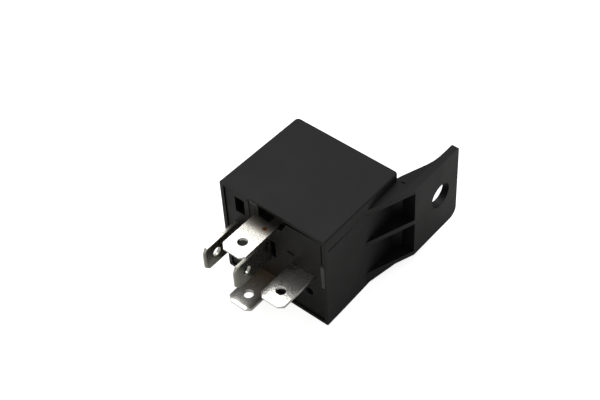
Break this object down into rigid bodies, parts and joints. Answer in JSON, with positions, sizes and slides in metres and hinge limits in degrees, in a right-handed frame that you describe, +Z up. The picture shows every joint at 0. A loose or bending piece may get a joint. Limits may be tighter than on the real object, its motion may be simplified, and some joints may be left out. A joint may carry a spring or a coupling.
{
  "type": "automotive relay",
  "caption": "Plug-in changeover relay: black moulded cover with a side mounting tab, flat blade terminals in a base plate, and a hinged-armature magnet inside.",
  "frame": {"origin": "middle of the flat side that the relay lies on", "axes": "X across the terminal face towards the mounting tab, Y from the terminal face to the closed end, Z up"},
  "size_m": [0.0321, 0.0514, 0.027],
  "materials": {
    "cover_plastic": "satin black moulded PBT",
    "base_plastic": "satin black moulded PBT",
    "sealing_resin": "cured black resin",
    "tinned_brass": "tinned brass sheet, stamped",
    "plated_iron": "zinc-plated soft iron",
    "bobbin_nylon": "natural nylon",
    "enamelled_copper": "enamelled copper wire",
    "spring_bronze": "phosphor bronze strip",
    "contact_silver": "silver alloy",
    "resistor_lacquer": "blue lacquered resistor body"
  },
  "bodies": {
    "relay_body": {"cover": "cover_plastic", "base_plate": "base_plastic", "sealing_beads": "sealing_resin", "terminal_30": "tinned_brass", "terminal_85": "tinned_brass", "terminal_86": "tinned_brass", "terminal_87": "tinned_brass", "terminal_87a": "tinned_brass", "yoke": "plated_iron", "core": "plated_iron", "bobbin": "bobbin_nylon", "coil_winding": "enamelled_copper", "coil_lead_start": "enamelled_copper", "coil_lead_end": "enamelled_copper", "spring_rivets": "plated_iron", "open_contact": "contact_silver", "closed_contact": "contact_silver", "resistor": "resistor_lacquer", "resistor_lead_85": "tinned_brass", "resistor_lead_86": "tinned_brass"},
    "armature": {"armature": "plated_iron", "contact_spring": "spring_bronze", "armature_rivets": "plated_iron", "moving_contact": "contact_silver"}
  },
  "joints": [
    {"name": "armature_hinge", "type": "hinge", "parent": "relay_body", "child": "armature", "pos_m": [0.01002, 0.00595, 0.0135], "axis": [0, 0, 1], "range_deg": [0, 2.9], "stiffness_Nm_per_rad": 0.01, "springref_deg": -11.46, "deforming": ["contact_spring"]}
  ]
}
